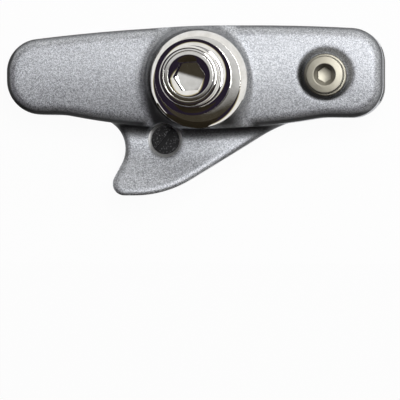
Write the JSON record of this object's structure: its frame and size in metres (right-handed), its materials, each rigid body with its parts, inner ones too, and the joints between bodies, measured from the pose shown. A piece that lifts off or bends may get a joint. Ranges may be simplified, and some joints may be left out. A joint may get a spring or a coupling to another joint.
{
  "type": "bicycle rim brake pad",
  "caption": "Cartridge brake shoe for a bicycle rim brake: cast holder with a wheel guide fin, slide-in rubber insert, socket mounting bolt with washers, and small screws.",
  "frame": {"origin": "on the mounting bolt's axis, at the upper face of the thick washer that the caliper arm seats on", "axes": "+Z along the bolt out of the holder, +X along the shoe to its open end, +Y away from the wheel's hub; the friction face looks down"},
  "size_m": [0.0546, 0.0246, 0.0223],
  "materials": {
    "holder_paint": "cast, satin silver paint",
    "brake_rubber": "matt moulded rubber",
    "plated_steel": "polished plating",
    "nickel_steel": "warm nickel plating",
    "black_steel": "black oxide"
  },
  "bodies": {
    "root": {"shoe_holder": "holder_paint", "pad_insert": "brake_rubber", "mounting_bolt": "plated_steel", "arm_washer": "plated_steel", "bolt_washer": "plated_steel", "retaining_screw": "nickel_steel", "retaining_washer": "nickel_steel", "fin_screw": "black_steel"}
  },
  "joints": []
}
